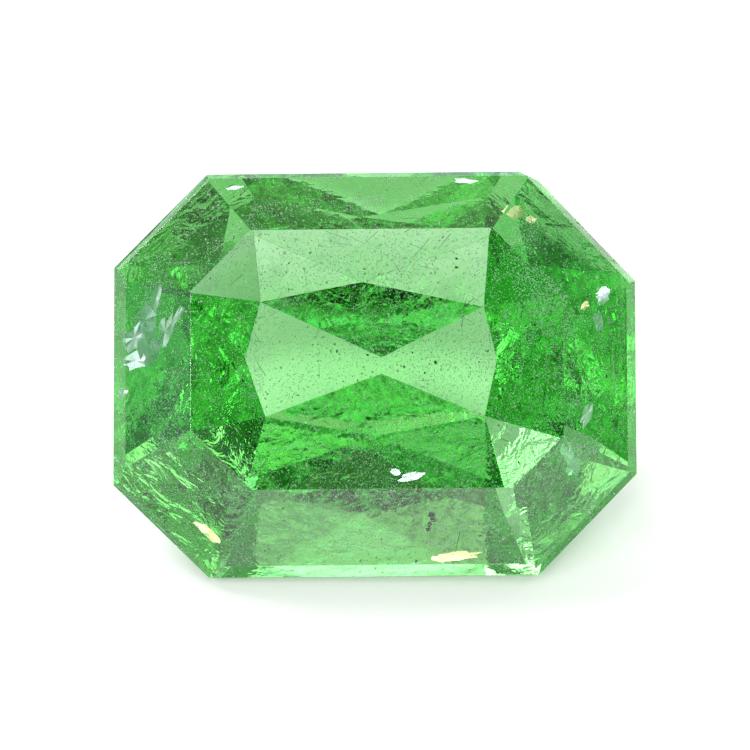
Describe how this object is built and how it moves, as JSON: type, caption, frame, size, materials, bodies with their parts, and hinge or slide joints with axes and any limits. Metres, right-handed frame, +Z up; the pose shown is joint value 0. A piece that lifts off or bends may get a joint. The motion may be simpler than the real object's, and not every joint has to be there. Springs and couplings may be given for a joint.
{
  "type": "cut garnet gemstone",
  "caption": "Loose green tsavorite garnet in a rectangular step cut with cut corners, lying on a pavilion facet with its flat table facing up and forward.",
  "frame": {"origin": "middle of the base of the stone's box, on the surface that it lies on", "axes": "+X along the stone's length, +Z up from the surface, the table facing -Y and up"},
  "size_m": [0.0066, 0.004, 0.0038],
  "materials": {
    "garnet": "polished, clear green, included"
  },
  "bodies": {
    "root": {"tsavorite": "garnet"}
  },
  "joints": []
}
